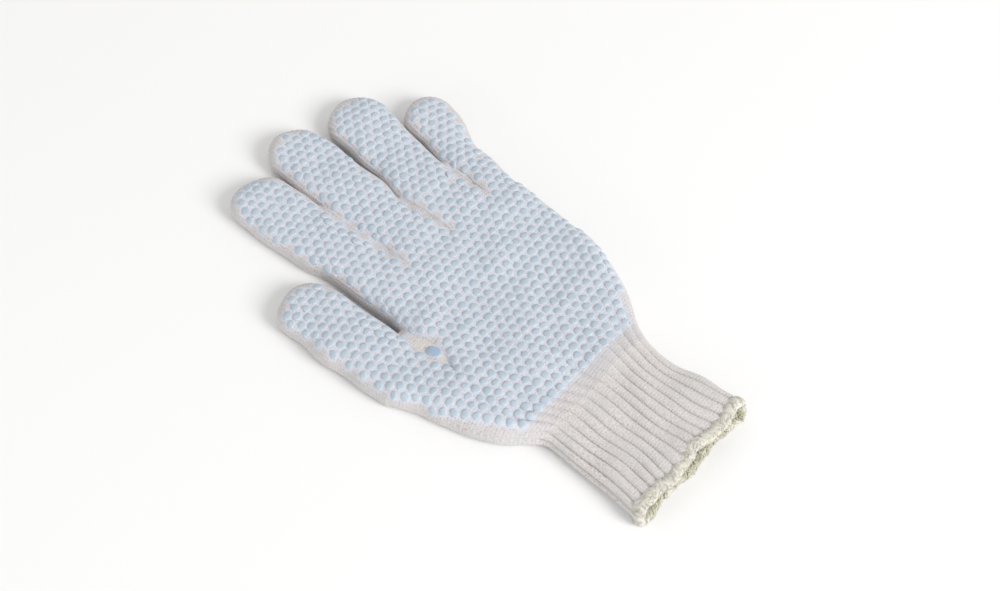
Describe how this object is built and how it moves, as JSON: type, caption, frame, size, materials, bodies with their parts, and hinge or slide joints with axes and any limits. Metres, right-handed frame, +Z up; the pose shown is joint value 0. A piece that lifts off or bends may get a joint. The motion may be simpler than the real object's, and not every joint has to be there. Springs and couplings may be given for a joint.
{
  "type": "dotted knit work glove",
  "caption": "Seamless knitted work glove for the left hand, lying palm up, with a ribbed cuff, an overlocked hem and raised grip dots on the palm and fingers.",
  "frame": {"origin": "middle of the glove's outline on the surface it lies on", "axes": "+Y from the hem to the fingertips, +Z up out of the palm, thumb on the -X side"},
  "size_m": [0.1384, 0.2458, 0.0139],
  "materials": {
    "knit": "off-white plain and ribbed cotton knit, matt",
    "hem_yarn": "cream overlock yarn, fluffy",
    "grip_dots": "light blue soft vinyl, slightly glossy"
  },
  "bodies": {
    "root": {"overlocked_hem": "hem_yarn", "ribbed_cuff": "knit", "palm_body": "knit", "thumb_stall": "knit", "index_finger_stall": "knit", "middle_finger_stall": "knit", "ring_finger_stall": "knit", "little_finger_stall": "knit"}
  },
  "joints": []
}
